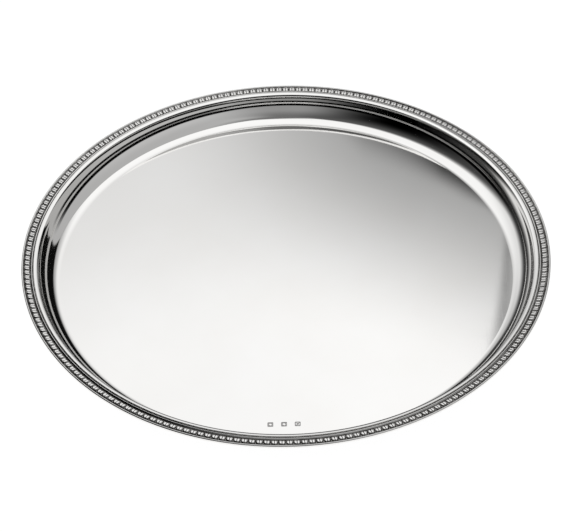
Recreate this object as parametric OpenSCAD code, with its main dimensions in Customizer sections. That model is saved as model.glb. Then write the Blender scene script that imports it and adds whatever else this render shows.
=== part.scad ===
// Round silver-plated salver. One pressed sheet makes the well, the wall, the crown and the flange.
// A leaf border in three lengths is soldered into a seat pressed round the flange.
// Millimetres, +Z up. The origin is the middle of the underside, on the surface it rests on.

/* [Tray sheet] */
// Diameter over the rim
tray_d = 350; // [300:5:400]
// Thickness of the sheet
sheet_t = 1; // [0.8:0.05:1.1]
// Radius of the flat of the well
well_r = 150.5; // [148:0.1:151]
// Radius of the tight bend at the foot of the wall
foot_r = 8; // [6:0.5:12]
// Radius of the cove above that bend
cove_r = 16.7; // [15:0.1:16.8]
// Length of the straight part of the wall
wall_len = 0.1; // [0.1:0.1:0.6]
// Radius of the outward roll that leads to the crown
roll_r = 14; // [12:0.5:15]
// Radius of the polished crown inside the border
crown_r = 6.5; // [5:0.1:6.5]
// Height of the seat pressed round the flange for the border
seat_z = 16.7; // [16.3:0.05:16.8]

/* [Leaf border] */
// Width of the border, from its inner edge to the rim
border_w = 8; // [7.5:0.25:9]
// Leaves on each of the three lengths
leaves_per_length = 77; // [60:1:84]
// Length of a leaf, from its foot to its tip
leaf_len = 3.4; // [2.8:0.05:3.4]
// Share of the leaf pitch that one leaf fills
leaf_fill = 0.82; // [0.6:0.02:0.9]
// Height of the leaves above the ground of the border
leaf_rise = 0.45; // [0.2:0.05:0.5]
// Height of the ground of the border above its underside
ground_t = 0.35; // [0.3:0.05:0.5]

/* [Solder] */
// Thickness of the solder under the border
bed_t = 0.1; // [0.06:0.02:0.16]
// Width of the soldered joint between two lengths of border
joint_w = 0.2; // [0.1:0.05:0.4]
// Direction of the first joint, in degrees from +X
first_joint = 15; // [0:5:115]

/* [Hidden] */

LENGTHS = 3;
eps = 0.02;
tray_r = tray_d / 2;
$fn = 240;

// Slopes of the sheet at the ends of its bends, in degrees from level
foot_slope = 24;
cove_slope = 80;
roll_slope = 66.5;
corner_slope = 24;
crown_slope = 5;
edge_slope = -80;
corner_r = 0.4;
edge_r = 0.3;
border_in = tray_r - border_w;
step_r = border_in - 0.7;
step_drop = 0.05;

// Border section: reed, leaf ground and round rim moulding, over a lip that hides the sheet's edge
border_gap = 0.1;
border_z = seat_z + bed_t;
ground_z = border_z + ground_t;
reed_r = 0.35;
reed_at = [border_in + 1.05, ground_z + 0.1];
leaf_foot = border_in + 2.35;
leaf_tip = leaf_foot + leaf_len;
rim_r = 0.75;
rim_at = [tray_r - rim_r, ground_z - 0.25];
lip_in = tray_r - 2.2;
lip_edge = 0.3;
sheet_edge = lip_in - 0.05;
lip_z = seat_z - sheet_t;
crown_t = 1.05;

leaf_pitch = 360 / (LENGTHS * leaves_per_length);
leaf_w = leaf_fill * 2 * PI * leaf_foot * leaf_pitch / 360;
length_angle = 360 / LENGTHS;
joint_angle = joint_w / tray_r * 180 / PI;

SILVER = [0.86, 0.86, 0.85];
BORDER_SILVER = [0.74, 0.74, 0.73];
SOLDER = [0.62, 0.62, 0.6];

// Points of a bend from one slope to another; a falling slope has its centre below
function bend(at, radius, from, to, steps) =
    let(r = to > from ? radius : -radius)
        [for (k = [1 : steps])
            let(slope = from + (to - from) * k / steps)
                at + r * [sin(slope) - sin(from), cos(from) - cos(slope)]];

function last(points) = points[len(points) - 1];

// The wall from the edge of the well upwards, on a surface this far inside the sheet
function sheet_wall(z, inset) =
    let(start = [well_r, z],
        foot = bend(start, foot_r + inset, 0, foot_slope, 6),
        cove = bend(last(foot), cove_r + inset, foot_slope, cove_slope, 16),
        straight = last(cove) + wall_len * [cos(cove_slope), sin(cove_slope)],
        roll = bend(straight, roll_r - inset, cove_slope, roll_slope, 5))
        concat([start], foot, cove, [straight], roll);

// The polished face above the wall, rolling over to the border
function sheet_crown(start) =
    let(corner = bend(start, corner_r, roll_slope, corner_slope, 3),
        crown = bend(last(corner), crown_r, corner_slope, crown_slope, 5),
        edge = bend(last(crown), edge_r, crown_slope, edge_slope, 5))
        concat(corner, crown, edge);

// Section of the sheet, with the axis at x = 0
module sheet_section() {
    inside = sheet_wall(sheet_t, 0);
    crown = sheet_crown(last(inside));
    crown_low = max([for (p = crown) p[1]]) - crown_t;
    outside = [for (p = sheet_wall(0, sheet_t)) if (p[1] < crown_low) p];
    seat = [[border_in, last(crown)[1] - step_drop], [border_in, seat_z],
            [sheet_edge, seat_z], [sheet_edge, lip_z],
            [step_r, lip_z], [step_r, crown_low], [last(outside)[0] + 0.05, crown_low]];
    back = [for (k = [1 : len(outside)]) outside[len(outside) - k]];
    polygon(concat([[0, sheet_t]], inside, crown, seat, back, [[0, 0]]));
}

// Section of the border without its leaves
module border_section() {
    translate([border_in + border_gap, border_z])
        square([lip_in - border_in, ground_t]);
    translate(reed_at)
        circle(r = reed_r);
    translate(rim_at)
        circle(r = rim_r);
    translate([lip_in, lip_z + lip_edge])
        square([tray_r - lip_in, rim_at[1] - lip_z - lip_edge]);
    translate([lip_in, rim_at[1] - eps])
        square([tray_r - rim_r - lip_in, ground_z - rim_at[1] + eps]);
    translate([lip_in, lip_z])
        square([tray_r - lip_in - lip_edge, lip_edge]);
    translate([tray_r - lip_edge, lip_z + lip_edge])
        circle(r = lip_edge);
}

// One tongue-shaped leaf, pointing outwards along X
module leaf() {
    translate([leaf_foot, -leaf_w / 2])
        square([leaf_len - leaf_w / 2, leaf_w]);
    translate([leaf_tip - leaf_w / 2, 0])
        circle(d = leaf_w, $fn = 32);
}

// Part of a full turn of the border, from one angle to another
module border_arc(from, to) {
    rotate([0, 0, from])
        rotate_extrude(angle = to - from)
            border_section();
}

// One length of the border with its leaves, between two soldered joints
module border_length(i) {
    start = first_joint + i * length_angle;
    border_arc(start + joint_angle / 2, start + length_angle - joint_angle / 2);
    for (k = [0 : leaves_per_length - 1])
        rotate([0, 0, start + (k + 0.5) * leaf_pitch])
            translate([0, 0, ground_z - eps])
                linear_extrude(leaf_rise + eps)
                    leaf();
}

// The solder that closes the gap between two lengths
module border_joint(i) {
    middle = first_joint + i * length_angle;
    color(SOLDER)
        border_arc(middle - joint_angle / 2, middle + joint_angle / 2);
}

module tray_body() {
    color(SILVER)
        rotate_extrude()
            sheet_section();
}

// The thin layer that holds the border down in its seat
module solder_bed() {
    color(SOLDER)
        translate([0, 0, seat_z])
            linear_extrude(bed_t)
                difference() {
                    circle(r = sheet_edge);
                    circle(r = border_in + border_gap);
                }
}

module border_length_1() {
    color(BORDER_SILVER) border_length(0);
}

module border_length_2() {
    color(BORDER_SILVER) border_length(1);
}

module border_length_3() {
    color(BORDER_SILVER) border_length(2);
}

module border_joint_1() {
    border_joint(0);
}

module border_joint_2() {
    border_joint(1);
}

module border_joint_3() {
    border_joint(2);
}

tray_body();
solder_bed();
border_length_1();
border_length_2();
border_length_3();
border_joint_1();
border_joint_2();
border_joint_3();
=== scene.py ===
"""A round silver salver with a border of small leaves, on a pale table inside a light tent.

Lengths are in millimetres and angles in degrees, until an object is made from them.
"""
import math

import bpy
import numpy as np
from mathutils import Matrix, Vector
from mathutils.geometry import delaunay_2d_cdt


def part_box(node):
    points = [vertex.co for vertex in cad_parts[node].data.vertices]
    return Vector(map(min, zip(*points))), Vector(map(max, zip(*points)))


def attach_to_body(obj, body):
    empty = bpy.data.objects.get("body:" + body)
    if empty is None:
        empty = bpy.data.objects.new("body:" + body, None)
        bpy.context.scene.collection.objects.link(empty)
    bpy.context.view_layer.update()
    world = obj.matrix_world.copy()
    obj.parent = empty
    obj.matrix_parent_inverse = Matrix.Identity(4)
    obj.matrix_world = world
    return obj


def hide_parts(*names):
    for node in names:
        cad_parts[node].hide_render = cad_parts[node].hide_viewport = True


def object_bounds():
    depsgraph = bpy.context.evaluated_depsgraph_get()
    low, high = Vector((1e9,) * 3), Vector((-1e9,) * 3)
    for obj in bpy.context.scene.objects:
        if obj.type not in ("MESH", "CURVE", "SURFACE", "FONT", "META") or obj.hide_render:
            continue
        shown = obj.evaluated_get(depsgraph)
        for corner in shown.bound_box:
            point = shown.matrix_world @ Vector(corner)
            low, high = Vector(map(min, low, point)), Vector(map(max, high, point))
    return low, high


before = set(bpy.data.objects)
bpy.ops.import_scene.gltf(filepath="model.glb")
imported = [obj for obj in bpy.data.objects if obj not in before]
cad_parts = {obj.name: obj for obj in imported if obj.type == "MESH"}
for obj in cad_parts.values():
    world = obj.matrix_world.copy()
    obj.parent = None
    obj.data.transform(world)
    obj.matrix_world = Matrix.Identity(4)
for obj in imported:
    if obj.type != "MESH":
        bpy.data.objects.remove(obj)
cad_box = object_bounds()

MM = 0.001


def cad_size(corner):
    """A corner of a CAD box in millimetres, without the file's rounding."""
    return [round(value / MM, 3) for value in corner]


# ---- sizes that the CAD model gives ----

SHEET_EDGE = cad_size(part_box("tray_body")[1])[0]
BED_LOW, BED_HIGH = (cad_size(corner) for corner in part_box("solder_bed"))
LENGTH_LOW, LENGTH_HIGH = (cad_size(corner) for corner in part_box("border_length_1"))
OUTER_R = cad_size(cad_box[1])[0]
SEAT_Z = BED_LOW[2]
BORDER_Z = BED_HIGH[2]
LIP_Z = LENGTH_LOW[2]
RIM_Z = LENGTH_HIGH[2]

# ---- the sheet: each bend has a radius and the slope that it ends at ----

SHEET_T = 1.0
BORDER_W = 8.0
BORDER_IN = OUTER_R - BORDER_W
WELL_R = 150.5
FOOT_R, FOOT_END = 8.0, 24.0
COVE_R, COVE_END = 16.7, 80.0
WALL_LENGTH = 0.1
ROLL_R, ROLL_END = 14.0, 66.5
CORNER_R, CORNER_END = 0.4, 24.0
CROWN_R, CROWN_END = 6.5, 5.0
EDGE_R, EDGE_END = 0.3, -80.0
CROWN_T = 1.05
STEP_R = BORDER_IN - 0.7
FLAT_R = WELL_R - 1.2
FLAT_END = WELL_R - 0.2
CORNER_BREAK = 0.05
SHEET_SEGMENTS = 640

# ---- the border and its lengths ----

LENGTHS = 3
LEAVES_PER_LENGTH = 77
FIRST_JOINT = 15.0
LENGTH_ANGLE = 360 / LENGTHS
PITCH = LENGTH_ANGLE / LEAVES_PER_LENGTH
JOINT_W = 0.2
BORDER_SHARP = 62.0
INNER_R = BORDER_IN + 0.1
REED_R, REED_Z, REED_HALF = 168.05, BORDER_Z + 0.45, 0.4
REED_FOOT = 168.9
RIM_TUBE = 0.75
RIM_TUBE_R = OUTER_R - RIM_TUBE
RIM_TUBE_Z = RIM_Z - RIM_TUBE
RIM_TURNS = (165, 145, 125, 105, 90, 75, 60, 42, 20, 0)
GUTTER_R, GUTTER_END = 173.2, 173.35
LIP_R = SHEET_EDGE + 0.05

# ---- one leaf: an outline rib, a lobe on either side of a vein, and a dart between two leaf tips ----

LEAF_HALF = 1.89
LEAF_FOOT = 169.35
LEAF_TIP = 172.75
TIP_CENTRE = LEAF_TIP - LEAF_HALF
LEAF_BASE = BORDER_Z + 0.2
GROUND_DROP = 0.1
GROUND_Z = LEAF_BASE - GROUND_DROP
RIB_H, RIB_AT, RIB_HALF = 0.5, 0.19, 0.21
LOBE_H, LOBE_AT, LOBE_HALF = 0.46, 0.79, 0.71
LOBE_FROM, LOBE_TO = 170.25, 171.95
DART_R, DART_LENGTH, DART_HALF, DART_SHARE = 172.5, 0.5, 0.35, 0.8
CREST_R, CREST_RISE, CREST_FALL = 171.0, 0.14, 0.04
OUTSIDE_FALL = 0.2

# ---- the three punches in the well ----

PUNCH_AT = (-3.8, -140.5)
PUNCH_STEP = 8.6
PUNCH_HALF = 1.9
PUNCH_SIDE = 1.3
PUNCH_DEPTH = 0.12
DISC_R = 0.95
LOZENGE_HALF = 1.3
RING_R, RING_HALF = 1.05, 0.35
PANEL_HALF = (10.9, 3.2)
PANEL_CELLS = (160, 49)


def ease(x, start, end):
    """Goes smoothly from 0 at start to 1 at end."""
    t = np.clip((x - start) / (end - start), 0, 1)
    return t * t * (3 - 2 * t)


def mix(a, b, share):
    return a + (b - a) * share


# ---- mesh helpers ----

def add_object(name, data):
    """A new object, linked into the scene."""
    made = bpy.data.objects.new(name, data)
    bpy.context.scene.collection.objects.link(made)
    return made


def make_mesh(name, points, faces, attribute, values):
    """A mesh from points in millimetres, with a named number held at each of them."""
    mesh = bpy.data.meshes.new(name)
    mesh.from_pydata((np.asarray(points) * MM).tolist(), [], faces)
    held = mesh.attributes.new(attribute, "FLOAT", "POINT")
    held.data.foreach_set("value", np.asarray(values, np.float32))
    return mesh


def make_piece(name, points, faces, patina_and_shade, sharp=50.0):
    """A smooth-shaded piece, with a number at each of its points for how dark it is painted: partly tarnish
    in hollows, partly painted shade.
    """
    mesh = make_mesh(name, points, faces, "patina_and_shade", patina_and_shade)
    mesh.shade_smooth()
    mesh.set_sharp_from_angle(angle=math.radians(sharp))
    mesh.validate()
    return add_object(name, mesh)


def strip_faces(rows, columns, wrap_rows, wrap_columns):
    """Quads between a grid's points, numbered row by row. Rows and columns may each close on themselves."""
    j = np.arange(rows if wrap_rows else rows - 1)
    c = np.arange(columns if wrap_columns else columns - 1)
    j, c = (grid.ravel() for grid in np.meshgrid(j, c, indexing="ij"))
    here, below = j * columns, (j + 1) % rows * columns
    beside = (c + 1) % columns
    return np.stack([here + c, below + c, below + beside, here + beside], 1).tolist()


def round_points(centre_r, centre_z, radius, turns):
    """Points (radius, height) on a circle in the section. A turn of 0 is outwards and 90 is upwards."""
    return [(centre_r + radius * math.cos(t), centre_z + radius * math.sin(t)) for t in np.radians(turns)]


# ---- the sheet: well, wall, crown and the seat under the border ----

def bend(path, radius, start, end, steps):
    """Carries a path on along an arc whose slope goes from start to end."""
    r, z = path[-1]
    signed = radius if end > start else -radius
    for slope in np.radians(np.linspace(start, end, steps + 1)[1:]):
        along = signed * (math.sin(slope) - math.sin(math.radians(start)))
        up = signed * (math.cos(math.radians(start)) - math.cos(slope))
        path.append((r + along, z + up))


def sheet_wall(start_z, inset):
    """The wall from the well upwards, on a surface that lies this far inside the sheet."""
    path = [(WELL_R, start_z)]
    bend(path, FOOT_R + inset, 0, FOOT_END, 14)
    bend(path, COVE_R + inset, FOOT_END, COVE_END, 34)
    r, z = path[-1]
    wall = math.radians(COVE_END)
    path.append((r + WALL_LENGTH * math.cos(wall), z + WALL_LENGTH * math.sin(wall)))
    bend(path, ROLL_R - inset, COVE_END, ROLL_END, 14)
    return path


def sheet_profile():
    """The sheet's section from the flat of the well outwards, over the crown, and back underneath."""
    wall = sheet_wall(SHEET_T, 0)
    bend(wall, CORNER_R, ROLL_END, CORNER_END, 8)
    bend(wall, CROWN_R, CORNER_END, CROWN_END, 12)
    bend(wall, EDGE_R, CROWN_END, EDGE_END, 4)
    top = [(FLAT_R, SHEET_T), (FLAT_END, SHEET_T)] + wall
    top += [(BORDER_IN, wall[-1][1] - CORNER_BREAK), (BORDER_IN, SEAT_Z)]
    edge = [(SHEET_EDGE, SEAT_Z), (SHEET_EDGE, LIP_Z)]
    crown_under = max(z for r, z in wall) - CROWN_T
    outside = [(r, z) for r, z in sheet_wall(0, SHEET_T) if z < crown_under]
    under = [(STEP_R, LIP_Z), (STEP_R, crown_under), (outside[-1][0] + CORNER_BREAK, crown_under)]
    return top + edge + under + outside[::-1] + [(FLAT_R, 0.0)]


def punch_relief(x, y):
    """How deep the well is punched at a point: three plain shields, each with a figure left standing."""
    depth = np.zeros_like(x)
    for index in (-1, 0, 1):
        across = np.abs(x - PUNCH_AT[0] - index * PUNCH_STEP)
        along = np.abs(y - PUNCH_AT[1])
        corner = np.hypot(np.maximum(across - PUNCH_SIDE, 0), np.maximum(along - PUNCH_SIDE, 0))
        inside = ease(PUNCH_HALF - PUNCH_SIDE - corner, 0, 0.25)
        radius = np.hypot(across, along)
        figures = {
            -1: ease(DISC_R - radius, -0.1, 0.15),
            0: ease(LOZENGE_HALF - across - along, -0.15, 0.2),
            1: ease(RING_HALF - np.abs(radius - RING_R), -0.1, 0.15),
        }
        depth = np.maximum(depth, inside * (1 - figures[index]))
    return depth


def punch_panel():
    """A fine grid of points over the punches, the numbers of those round its edge, and how deep each lies."""
    columns, rows = PANEL_CELLS[0] + 1, PANEL_CELLS[1] + 1
    x = PUNCH_AT[0] + np.linspace(-PANEL_HALF[0], PANEL_HALF[0], columns)
    y = PUNCH_AT[1] + np.linspace(PANEL_HALF[1], -PANEL_HALF[1], rows)
    y, x = np.meshgrid(y, x, indexing="ij")
    depth = punch_relief(x, y).ravel()
    panel = np.stack([x.ravel(), y.ravel(), SHEET_T - PUNCH_DEPTH * depth], 1)
    numbers = np.arange(rows * columns).reshape(rows, columns)
    edge = np.concatenate([numbers[0], numbers[1:, -1], numbers[-1, -2::-1], numbers[-2:0:-1, 0]])
    return panel, edge, depth


def well_floor(ring_points):
    """The flat of the well inside a ring: plain triangles round a fine panel that holds the punches."""
    panel, edge, depth = punch_panel()
    ring_count = len(ring_points)
    flat = [Vector(p[:2]) for p in ring_points] + [Vector(panel[n][:2]) for n in edge]
    links = [(i, (i + 1) % ring_count) for i in range(ring_count)]
    links += [(ring_count + i, ring_count + (i + 1) % len(edge)) for i in range(len(edge))]
    points, _, triangles, originals, _, _ = delaunay_2d_cdt(flat, links, [], 0, 1e-6)
    firsts = [int(numbers[0]) for numbers in originals]
    to_mesh = [n if n < ring_count else ring_count + int(edge[n - ring_count]) for n in firsts]
    faces = []
    for triangle in triangles:
        middle = sum((points[i] for i in triangle), Vector((0, 0))) / 3
        within = [abs(middle[k] - PUNCH_AT[k]) < PANEL_HALF[k] for k in (0, 1)]
        if not all(within):
            faces.append([to_mesh[i] for i in triangle])
    cells = np.array(strip_faces(PANEL_CELLS[1] + 1, PANEL_CELLS[0] + 1, False, False))
    faces += (cells + ring_count).tolist()
    return panel, faces, depth


def make_sheet():
    """The salver's one sheet: its section turned all the way round, and closed by two flat faces."""
    profile = sheet_profile()
    turns = np.arange(SHEET_SEGMENTS) * 2 * math.pi / SHEET_SEGMENTS
    across, along = np.cos(turns), np.sin(turns)
    rings = [np.stack([r * across, r * along, np.full(SHEET_SEGMENTS, z)], 1) for r, z in profile]
    faces = strip_faces(len(profile), SHEET_SEGMENTS, False, True)
    panel, floor_faces, depth = well_floor(rings[0])
    count = len(profile) * SHEET_SEGMENTS
    last_ring = count - SHEET_SEGMENTS
    # the floor counts its panel from the end of the first ring, and here it comes after the last
    faces += [[i if i < SHEET_SEGMENTS else i + last_ring for i in face] for face in floor_faces]
    middle = count + len(panel)
    faces += [[middle, last_ring + (i + 1) % SHEET_SEGMENTS, last_ring + i] for i in range(SHEET_SEGMENTS)]
    points = np.concatenate(rings + [panel, [[0, 0, 0]]])
    # the punched hollows are painted darker: partly tarnish, partly painted shade
    patina_and_shade = np.concatenate([np.zeros(count), 0.75 * depth, [0]])
    return make_piece("tray_sheet", points, faces, patina_and_shade)


# ---- the border: a reed, a row of leaves and a round rim ----

LEAF_STEPS = (0.08, 0.16, 0.3, 0.55, 1.0, 1.25, 1.4, 1.5, 1.6, 1.72, 1.84, 1.94)
LEAF_COLUMNS = [-u for u in reversed(LEAF_STEPS)] + [0.0] + list(LEAF_STEPS)
LEAF_RADII = [LEAF_FOOT + 0.07, LEAF_FOOT + 0.15]
LEAF_RADII += [*np.linspace(169.7, 171.0, 6), *np.linspace(171.2, 173.05, 15)]


def border_rows():
    """The border's section from its inner edge outwards and back underneath.

    Where a height is None, the leaves' relief gives it.
    """
    rows = [(INNER_R, BORDER_Z), (INNER_R, BORDER_Z + 0.04)]
    rows += [(INNER_R + 0.2, GROUND_Z), (INNER_R + 0.45, GROUND_Z)]
    rows += round_points(REED_R, REED_Z, REED_HALF, np.linspace(170, 10, 7))
    rows += [(REED_FOOT, GROUND_Z), (LEAF_FOOT - 0.08, GROUND_Z)]
    rows += [(r, None) for r in LEAF_RADII]
    rows += [(GUTTER_R, GROUND_Z), (GUTTER_END, LEAF_BASE - 0.05)]
    rows += round_points(RIM_TUBE_R, RIM_TUBE_Z, RIM_TUBE, RIM_TURNS)
    rows += [(OUTER_R, LIP_Z + 0.3), (OUTER_R - 0.09, LIP_Z + 0.09), (OUTER_R - 0.3, LIP_Z)]
    rows += [(LIP_R, LIP_Z), (LIP_R, BORDER_Z)]
    return rows


def gap_side(r):
    """How far the middle of a gap is from the middle of a leaf beside it, at a radius."""
    return r * math.sin(math.radians(PITCH / 2))


def leaf_relief(r, across):
    """The height of the border's face, and how raised it is from 0 to about 1.

    across is the distance to the side of a leaf's middle.
    """
    inside = LEAF_HALF - np.hypot(across, np.maximum(r - TIP_CENTRE, 0))
    rib = np.sqrt(np.maximum(1 - ((inside - RIB_AT) / RIB_HALF) ** 2, 0))
    past = np.maximum(np.maximum(r - LOBE_TO, LOBE_FROM - r), 0)
    lobe_share = np.hypot(across - LOBE_AT, past) / LOBE_HALF
    lobe = np.sqrt(np.maximum(1 - lobe_share ** 6, 0))
    gap = gap_side(r) - across
    dart_along = np.maximum(1 - np.abs(r - DART_R) / DART_LENGTH, 0) ** 0.6
    dart = DART_SHARE * dart_along * np.maximum(1 - gap / DART_HALF, 0)
    raised = np.maximum(np.maximum(rib, lobe), dart)
    height = np.maximum(np.maximum(rib * RIB_H, lobe * LOBE_H), dart * LOBE_H)
    tilt = CREST_RISE * (r - CREST_R) - CREST_FALL * (r - CREST_R) ** 2
    height = height + tilt * raised + OUTSIDE_FALL * np.minimum(inside, 0)
    start = ease(r, LEAF_FOOT - 0.05, LEAF_FOOT + 0.27)
    return GROUND_Z + (height + GROUND_DROP) * start, raised * start


def plain_patina_and_shade(r, z):
    """How dark the border is painted away from its leaves: tarnish and painted shade in the low ground, and
    painted shade down the rim's inner flank.
    """
    if BORDER_Z < z and r < RIM_TUBE_R - RIM_TUBE * 0.9:
        return (LEAF_BASE + 0.12 - z) / 0.15
    if LEAF_BASE < z:
        return 0.9 * (RIM_TUBE_R - r) / RIM_TUBE
    return 0


def border_points(columns):
    """Points of the border's section at each column, and how dark each is painted, partly tarnish and partly
    painted shade.

    A column holds the angle it is turned to, its side step, and how far it is from the middle of a leaf,
    where None is the middle of a gap.
    """
    rows = border_rows()
    points = np.zeros((len(rows), len(columns), 3))
    patina_and_shade = np.zeros((len(rows), len(columns)))
    turn = np.radians([column[0] for column in columns])
    side = np.array([column[1] for column in columns])
    for j, (r, z) in enumerate(rows):
        out = np.sqrt(r * r - side * side)
        points[j, :, 0] = out * np.cos(turn) - side * np.sin(turn)
        points[j, :, 1] = out * np.sin(turn) + side * np.cos(turn)
        if z is None:
            across = np.array([gap_side(r) if column[2] is None else abs(column[2]) for column in columns])
            points[j, :, 2], raised = leaf_relief(r, across)
            # the ground round the raised leaves is painted dark: partly tarnish, partly painted shade
            patina_and_shade[j] = np.clip(1 - 2.0 * raised, 0, 1)
        else:
            points[j, :, 2] = z
            patina_and_shade[j] = np.clip(plain_patina_and_shade(r, z), 0, 1)
    return points, patina_and_shade.ravel()


def border_piece(name, points, patina_and_shade):
    """A stretch of the border as one closed piece, with a flat face at either end."""
    row_count, column_count = points.shape[:2]
    faces = strip_faces(row_count, column_count, True, False)
    faces.append([j * column_count for j in reversed(range(row_count))])
    faces.append([(j + 1) * column_count - 1 for j in range(row_count)])
    return make_piece(name, points.reshape(-1, 3), faces, patina_and_shade, BORDER_SHARP)


def make_border_length(index):
    """One soldered length of the border, a third of the way round."""
    start = FIRST_JOINT + index * LENGTH_ANGLE
    columns = [(start, JOINT_W / 2, None)]
    for leaf in range(LEAVES_PER_LENGTH):
        middle = start + (leaf + 0.5) * PITCH
        columns += [(middle, u, u) for u in LEAF_COLUMNS]
        last = leaf == LEAVES_PER_LENGTH - 1
        columns.append((middle + PITCH / 2, -JOINT_W / 2 if last else 0.0, None))
    return border_piece(f"leaf_border_{index + 1}", *border_points(columns))


def make_seam(index):
    """The solder in the joint between two lengths, filed nearly flush with them."""
    turn = FIRST_JOINT + index * LENGTH_ANGLE
    half = JOINT_W / 2 - 0.005
    points, patina_and_shade = border_points([(turn, -half, None), (turn, half, None)])
    points[..., 2] -= np.where(points[..., 2] > BORDER_Z, 0.02, 0)
    return border_piece(f"border_seam_{index + 1}", points, patina_and_shade)


# ---- materials ----

class Shader:
    """A material that is built node by node."""

    def __init__(self, name):
        self.material = bpy.data.materials.new(name)
        self.material.use_nodes = True
        self.tree = self.material.node_tree
        self.tree.nodes.clear()
        self.output = self.add("ShaderNodeOutputMaterial")
        self.place = self.add("ShaderNodeTexCoord").outputs["Object"]

    def add(self, kind, links=None, **settings):
        """Adds a node. settings are its properties, and links what each socket holds or is joined to."""
        made = self.tree.nodes.new(kind)
        for key, value in settings.items():
            setattr(made, key, value)
        for key, value in (links or {}).items():
            if isinstance(value, bpy.types.NodeSocket):
                self.tree.links.new(value, made.inputs[key])
            else:
                made.inputs[key].default_value = value
        return made

    def noise(self, scale, detail=3.0, stretch=(1, 1, 1), turn=0.0):
        """Noise with this many features to the metre, from 0 to 1."""
        links = {"Vector": self.place, "Scale": stretch, "Rotation": (0, 0, math.radians(turn))}
        placed = self.add("ShaderNodeMapping", links)
        made = self.add("ShaderNodeTexNoise", {"Vector": placed.outputs[0], "Scale": scale, "Detail": detail})
        return made.outputs["Fac"]

    def span(self, value, low, high, to_low, to_high):
        """Carries a value from one range into another, and holds it there."""
        links = {"Value": value, "From Min": low, "From Max": high, "To Min": to_low, "To Max": to_high}
        return self.add("ShaderNodeMapRange", links).outputs[0]

    def maths(self, operation, *values):
        return self.add("ShaderNodeMath", dict(enumerate(values)), operation=operation).outputs[0]

    def blend(self, share, first, second):
        """Mixes two colours, whose sockets are the node's seventh and eighth."""
        return self.add("ShaderNodeMix", {0: share, 6: first, 7: second}, data_type="RGBA").outputs[2]

    def attribute(self, name):
        """The number that a mesh holds at each point under this name."""
        return self.add("ShaderNodeAttribute", attribute_name=name).outputs["Fac"]

    def bump(self, height, strength, distance):
        links = {"Height": height, "Strength": strength, "Distance": distance}
        return self.add("ShaderNodeBump", links).outputs[0]

    def finish(self, surface):
        """Ends in this surface."""
        self.tree.links.new(surface, self.output.inputs["Surface"])
        return self.material

    def finish_metal(self, colour, roughness, bump):
        """Ends in a bare metal."""
        links = {"Metallic": 1.0, "Base Color": colour, "Roughness": roughness, "Normal": bump}
        return self.finish(self.add("ShaderNodeBsdfPrincipled", links).outputs[0])


WHITE = (1, 1, 1, 1)
BRIGHT_SILVER = (0.93, 0.925, 0.915, 1)
WARM_SILVER = (0.905, 0.896, 0.88, 1)
BORDER_SILVER = (0.88, 0.874, 0.862, 1)
# the dark of the hollows, partly tarnish and partly painted shade
DARK_PATINA_AND_SHADE = (0.06, 0.056, 0.052, 1)
PALE_SOLDER = (0.62, 0.61, 0.59, 1)
DULL_SOLDER = (0.47, 0.46, 0.45, 1)


def silver_plate():
    """Buffed plate: nearly a mirror, with faint wiping clouds and hairlines that only break up its shine."""
    s = Shader("polished_silver_plate")
    clouds = s.noise(14, 4.0)
    colour = s.blend(s.span(clouds, 0.35, 0.7, 0, 1), BRIGHT_SILVER, WARM_SILVER)
    # the punched hollows are painted darker: partly tarnish, partly painted shade
    colour = s.blend(s.maths("MULTIPLY", s.attribute("patina_and_shade"), 0.9), colour, DARK_PATINA_AND_SHADE)
    smudges = s.span(s.noise(38, 5.0), 0.42, 0.75, 0.0, 0.03)
    roughness = s.maths("ADD", s.span(clouds, 0.3, 0.7, 0.03, 0.05), smudges)
    hairs = s.maths("MAXIMUM", s.noise(1.0, 2.0, (40, 4200, 40), 17), s.noise(1.0, 2.0, (3600, 30, 30), -9))
    return s.finish_metal(colour, roughness, s.bump(s.span(hairs, 0.62, 0.9, 0, 1), 0.02, 0.0001))


def border_silver(name, roughness, colour):
    """Border metal: bright on the high places, dark and dull in the hollows and down the rim's inner flank,
    partly tarnish that polish doesn't reach and partly painted shade.
    """
    s = Shader(name)
    # noise makes the painted dark patchy; that dark is partly tarnish and partly painted shade
    patchy_darkening = s.span(s.noise(260, 3.0), 0.3, 0.7, 0.78, 1.12)
    dark = s.span(s.maths("MULTIPLY", s.attribute("patina_and_shade"), patchy_darkening), 0.12, 0.95, 0, 1)
    tone = s.blend(s.span(s.noise(60, 2.0), 0.35, 0.7, 0, 1), colour, WARM_SILVER)
    base = s.blend(dark, tone, DARK_PATINA_AND_SHADE)
    dull = s.span(dark, 0, 1, roughness, 0.42)
    return s.finish_metal(base, dull, s.bump(s.noise(1900, 2.0), 0.12, 0.00004))


def soft_solder():
    """Grey solder with a satin skin, on the layer between the seat and the border."""
    s = Shader("satin_solder")
    blotches = s.noise(320, 4.0)
    colour = s.blend(s.span(blotches, 0.3, 0.7, 0, 1), PALE_SOLDER, DULL_SOLDER)
    roughness = s.span(blotches, 0.3, 0.7, 0.3, 0.46)
    return s.finish_metal(colour, roughness, s.bump(blotches, 0.3, 0.0001))


# ---- the light tent: brightness in each direction, from 0 to 1 ----
# az is from +Y towards +X, so the camera is at 180. el is above the rim's plane.

TENT_R = 437.5
TENT_LOW = -8.0
TENT_STEP = 0.5
TENT_TOP_GLOW = 0.5
LOWEST_GLOW_EL = 0.5


def cloth_glow(az, el):
    """The cloth: dark on the left, grey behind the camera, and nearly black to the right under the lamp."""
    side = mix(0.0, 0.25, ease(az, -116, -70))
    side = mix(side, 0.34, ease(el, 30, 85))
    behind = mix(0.56, 0.62, ease(np.abs(az), 180, 140) * (az > 0))
    behind = behind * mix(1, 0.76, ease(el, 40, 84))
    cloth = mix(behind, side, ease(az, -172, -122) * (az < 0))
    cloth = mix(cloth, 0.22, ease(az, -70, -50) * (az < 60))
    cloth = mix(cloth, 0.05, ease(az, -6, 6) * (az < 60))
    return mix(cloth, 0.43, ease(el, 80, 86))


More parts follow.
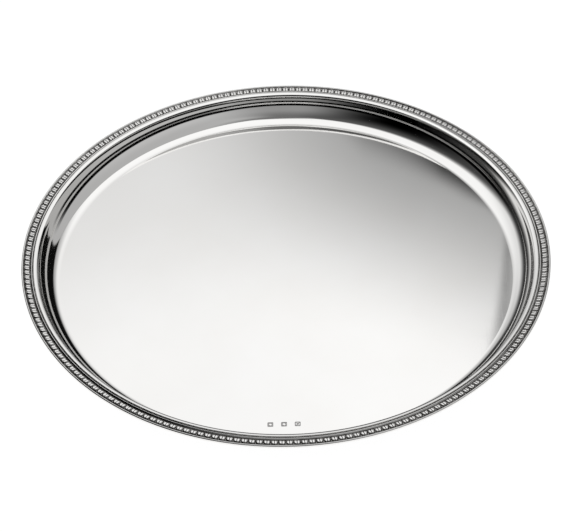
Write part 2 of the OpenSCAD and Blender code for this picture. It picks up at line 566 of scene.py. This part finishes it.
def lamp_glow(az, el):
    """The lamp behind the tray, which fades downwards on either side."""
    left = 0.97 - 0.10 * ease(el, 50, 26) - 0.62 * ease(el, 27, 4)
    right = 0.985 - 0.4 * ease(el - 0.1 * (az - 15), 49, 24)
    return mix(left, right, ease(az, -18, 18))


def lamp_shape(az, el):
    """How much of the lamp shows: it has a soft left end and foot, and stops at the card's edge."""
    edge, soft = card_edge(el)
    reach = np.interp(el, [20, 40, 60], [-68, -75, -78])
    foot = np.interp(az, [-12, 0, 10, 20, 30, 45], [4, 13, 18.5, 27, 31.3, 34])
    fade = np.interp(az, [-12, 0, 10, 20, 30], [8, 9, 11, 4, 1.5])
    shape = ease(az, reach, reach + 31) * ease(az, edge + soft, edge - soft)
    return shape * ease(el, 87, 82) * ease(el, foot, foot + fade)


def card_edge(el):
    """Where the grey card on the right begins, and how soft its edge is there."""
    edge = np.interp(el, [7, 33, 48, 62, 80], [40.5, 30, 35, 46, 54])
    soft = np.interp(el, [33, 50, 65], [0.7, 2.5, 6])
    return edge, soft


def tent_glow(az, el):
    """How bright the tent looks: cloth, a grey card, a low dark band at the sides and behind, and a lamp."""
    edge, soft = card_edge(el)
    card = 0.685 + 0.05 * ease(az, 50, 110) * ease(el, 60, 20)
    card_shape = ease(az, edge - soft, edge + soft) * ease(az, 176, 132) * ease(el, 88, 74)
    room = mix(cloth_glow(az, el), card, card_shape)
    room = room * mix(1, ease(el, 12, 17), ease(np.abs(az), 42, 62))
    return mix(room, lamp_glow(az, el), lamp_shape(az, el))


def light_from(display):
    """The light that looks as bright as a display value, from 0 to 1."""
    return np.where(display < 0.04045, display / 12.92, ((display + 0.055) / 1.055) ** 2.4)


def make_tent():
    """A dome of glowing cloth round the salver. Only polished metal shows it."""
    az = np.arange(0, 360, TENT_STEP)
    el = np.arange(TENT_LOW, 90, TENT_STEP)
    el_grid, az_grid = np.meshgrid(el, az, indexing="ij")
    a, e = np.radians(az_grid), np.radians(el_grid)
    x = TENT_R * np.sin(a) * np.cos(e)
    y = TENT_R * np.cos(a) * np.cos(e)
    z = RIM_Z + TENT_R * np.sin(e)
    points = np.stack([x.ravel(), y.ravel(), z.ravel()], 1)
    points = np.concatenate([points, [[0, 0, RIM_Z + TENT_R]]])
    faces = strip_faces(len(el), len(az), False, True)
    top, last = len(points) - 1, (len(el) - 1) * len(az)
    faces += [[last + i, top, last + (i + 1) % len(az)] for i in range(len(az))]
    signed_az = np.where(az_grid > 180, az_grid - 360, az_grid)
    display = tent_glow(signed_az, np.maximum(el_grid, LOWEST_GLOW_EL)).ravel()
    glow = light_from(np.append(display, TENT_TOP_GLOW)) / BRIGHT_SILVER[0]
    tent = add_object("tent", make_mesh("tent", points, faces, "glow", glow))
    s = Shader("tent_cloth")
    lit = s.add("ShaderNodeEmission", {"Color": WHITE, "Strength": s.attribute("glow")})
    s.material.cycles.emission_sampling = "NONE"
    tent.data.materials.append(s.finish(lit.outputs[0]))
    tent.visible_camera = False
    tent.visible_diffuse = False
    tent.visible_shadow = False


# ---- the table, the room and the camera ----

TABLE_HALF = 8000
TABLE_GLOW = 0.92
TABLE_GREY = (0.12, 0.12, 0.12, 1)


def make_table():
    """A pale table top, lit so evenly that only a faint shadow shows on it."""
    half = TABLE_HALF * MM
    mesh = bpy.data.meshes.new("table")
    corners = [(-half, -half, 0), (half, -half, 0), (half, half, 0), (-half, half, 0)]
    mesh.from_pydata(corners, [], [(0, 1, 2, 3)])
    table = add_object("table", mesh)
    s = Shader("pale_table")
    lit = s.add("ShaderNodeEmission", {"Color": WHITE, "Strength": TABLE_GLOW})
    matt = s.add("ShaderNodeBsdfDiffuse", {"Color": TABLE_GREY})
    both = s.add("ShaderNodeAddShader", {0: lit.outputs[0], 1: matt.outputs[0]})
    s.material.cycles.emission_sampling = "NONE"
    mesh.materials.append(s.finish(both.outputs[0]))


def light_world():
    """A white room all round, shown without a film curve."""
    world = bpy.data.worlds.new("white_room")
    world.use_nodes = True
    world.node_tree.nodes["Background"].inputs["Color"].default_value = WHITE
    bpy.context.scene.world = world
    bpy.context.scene.view_settings.view_transform = "Standard"


CAMERA_DISTANCE = 1736.0
CAMERA_ELEVATION = 42.8
CAMERA_DROP = 0.295
CAMERA_ROLL = -1.5
CAMERA_LENS = 165.0
CAMERA_SENSOR = 36.0


def place_camera():
    """Looks down at the salver from the front, with a long lens."""
    camera = add_object("camera", bpy.data.cameras.new("camera"))
    camera.data.lens = CAMERA_LENS
    camera.data.sensor_width = CAMERA_SENSOR
    camera.data.clip_start, camera.data.clip_end = 0.01, 100.0
    e = math.radians(CAMERA_ELEVATION)
    back = Vector((0, -math.cos(e), math.sin(e))) * CAMERA_DISTANCE
    pitch = math.radians(90 - CAMERA_ELEVATION - CAMERA_DROP)
    place = Matrix.Translation((Vector((0, 0, RIM_Z)) + back) * MM)
    turn = Matrix.Rotation(pitch, 4, "X") @ Matrix.Rotation(math.radians(CAMERA_ROLL), 4, "Z")
    camera.matrix_world = place @ turn
    bpy.context.scene.camera = camera


# ---- the whole salver ----

def attach(piece, node, material):
    """A visible piece stands for one CAD node and wears one material."""
    piece.data.materials.append(material)
    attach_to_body(piece, "root")
    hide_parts(node)


attach(make_sheet(), "tray_body", silver_plate())
leaf_silver = border_silver("leaf_border_silver", 0.06, BORDER_SILVER)
seam_silver = border_silver("seam_silver", 0.2, WARM_SILVER)
for number in range(LENGTHS):
    attach(make_border_length(number), f"border_length_{number + 1}", leaf_silver)
    attach(make_seam(number), f"border_joint_{number + 1}", seam_silver)
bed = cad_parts["solder_bed"]
bed.data.materials.clear()
bed.data.materials.append(soft_solder())

light_world()
make_table()
make_tent()
place_camera()
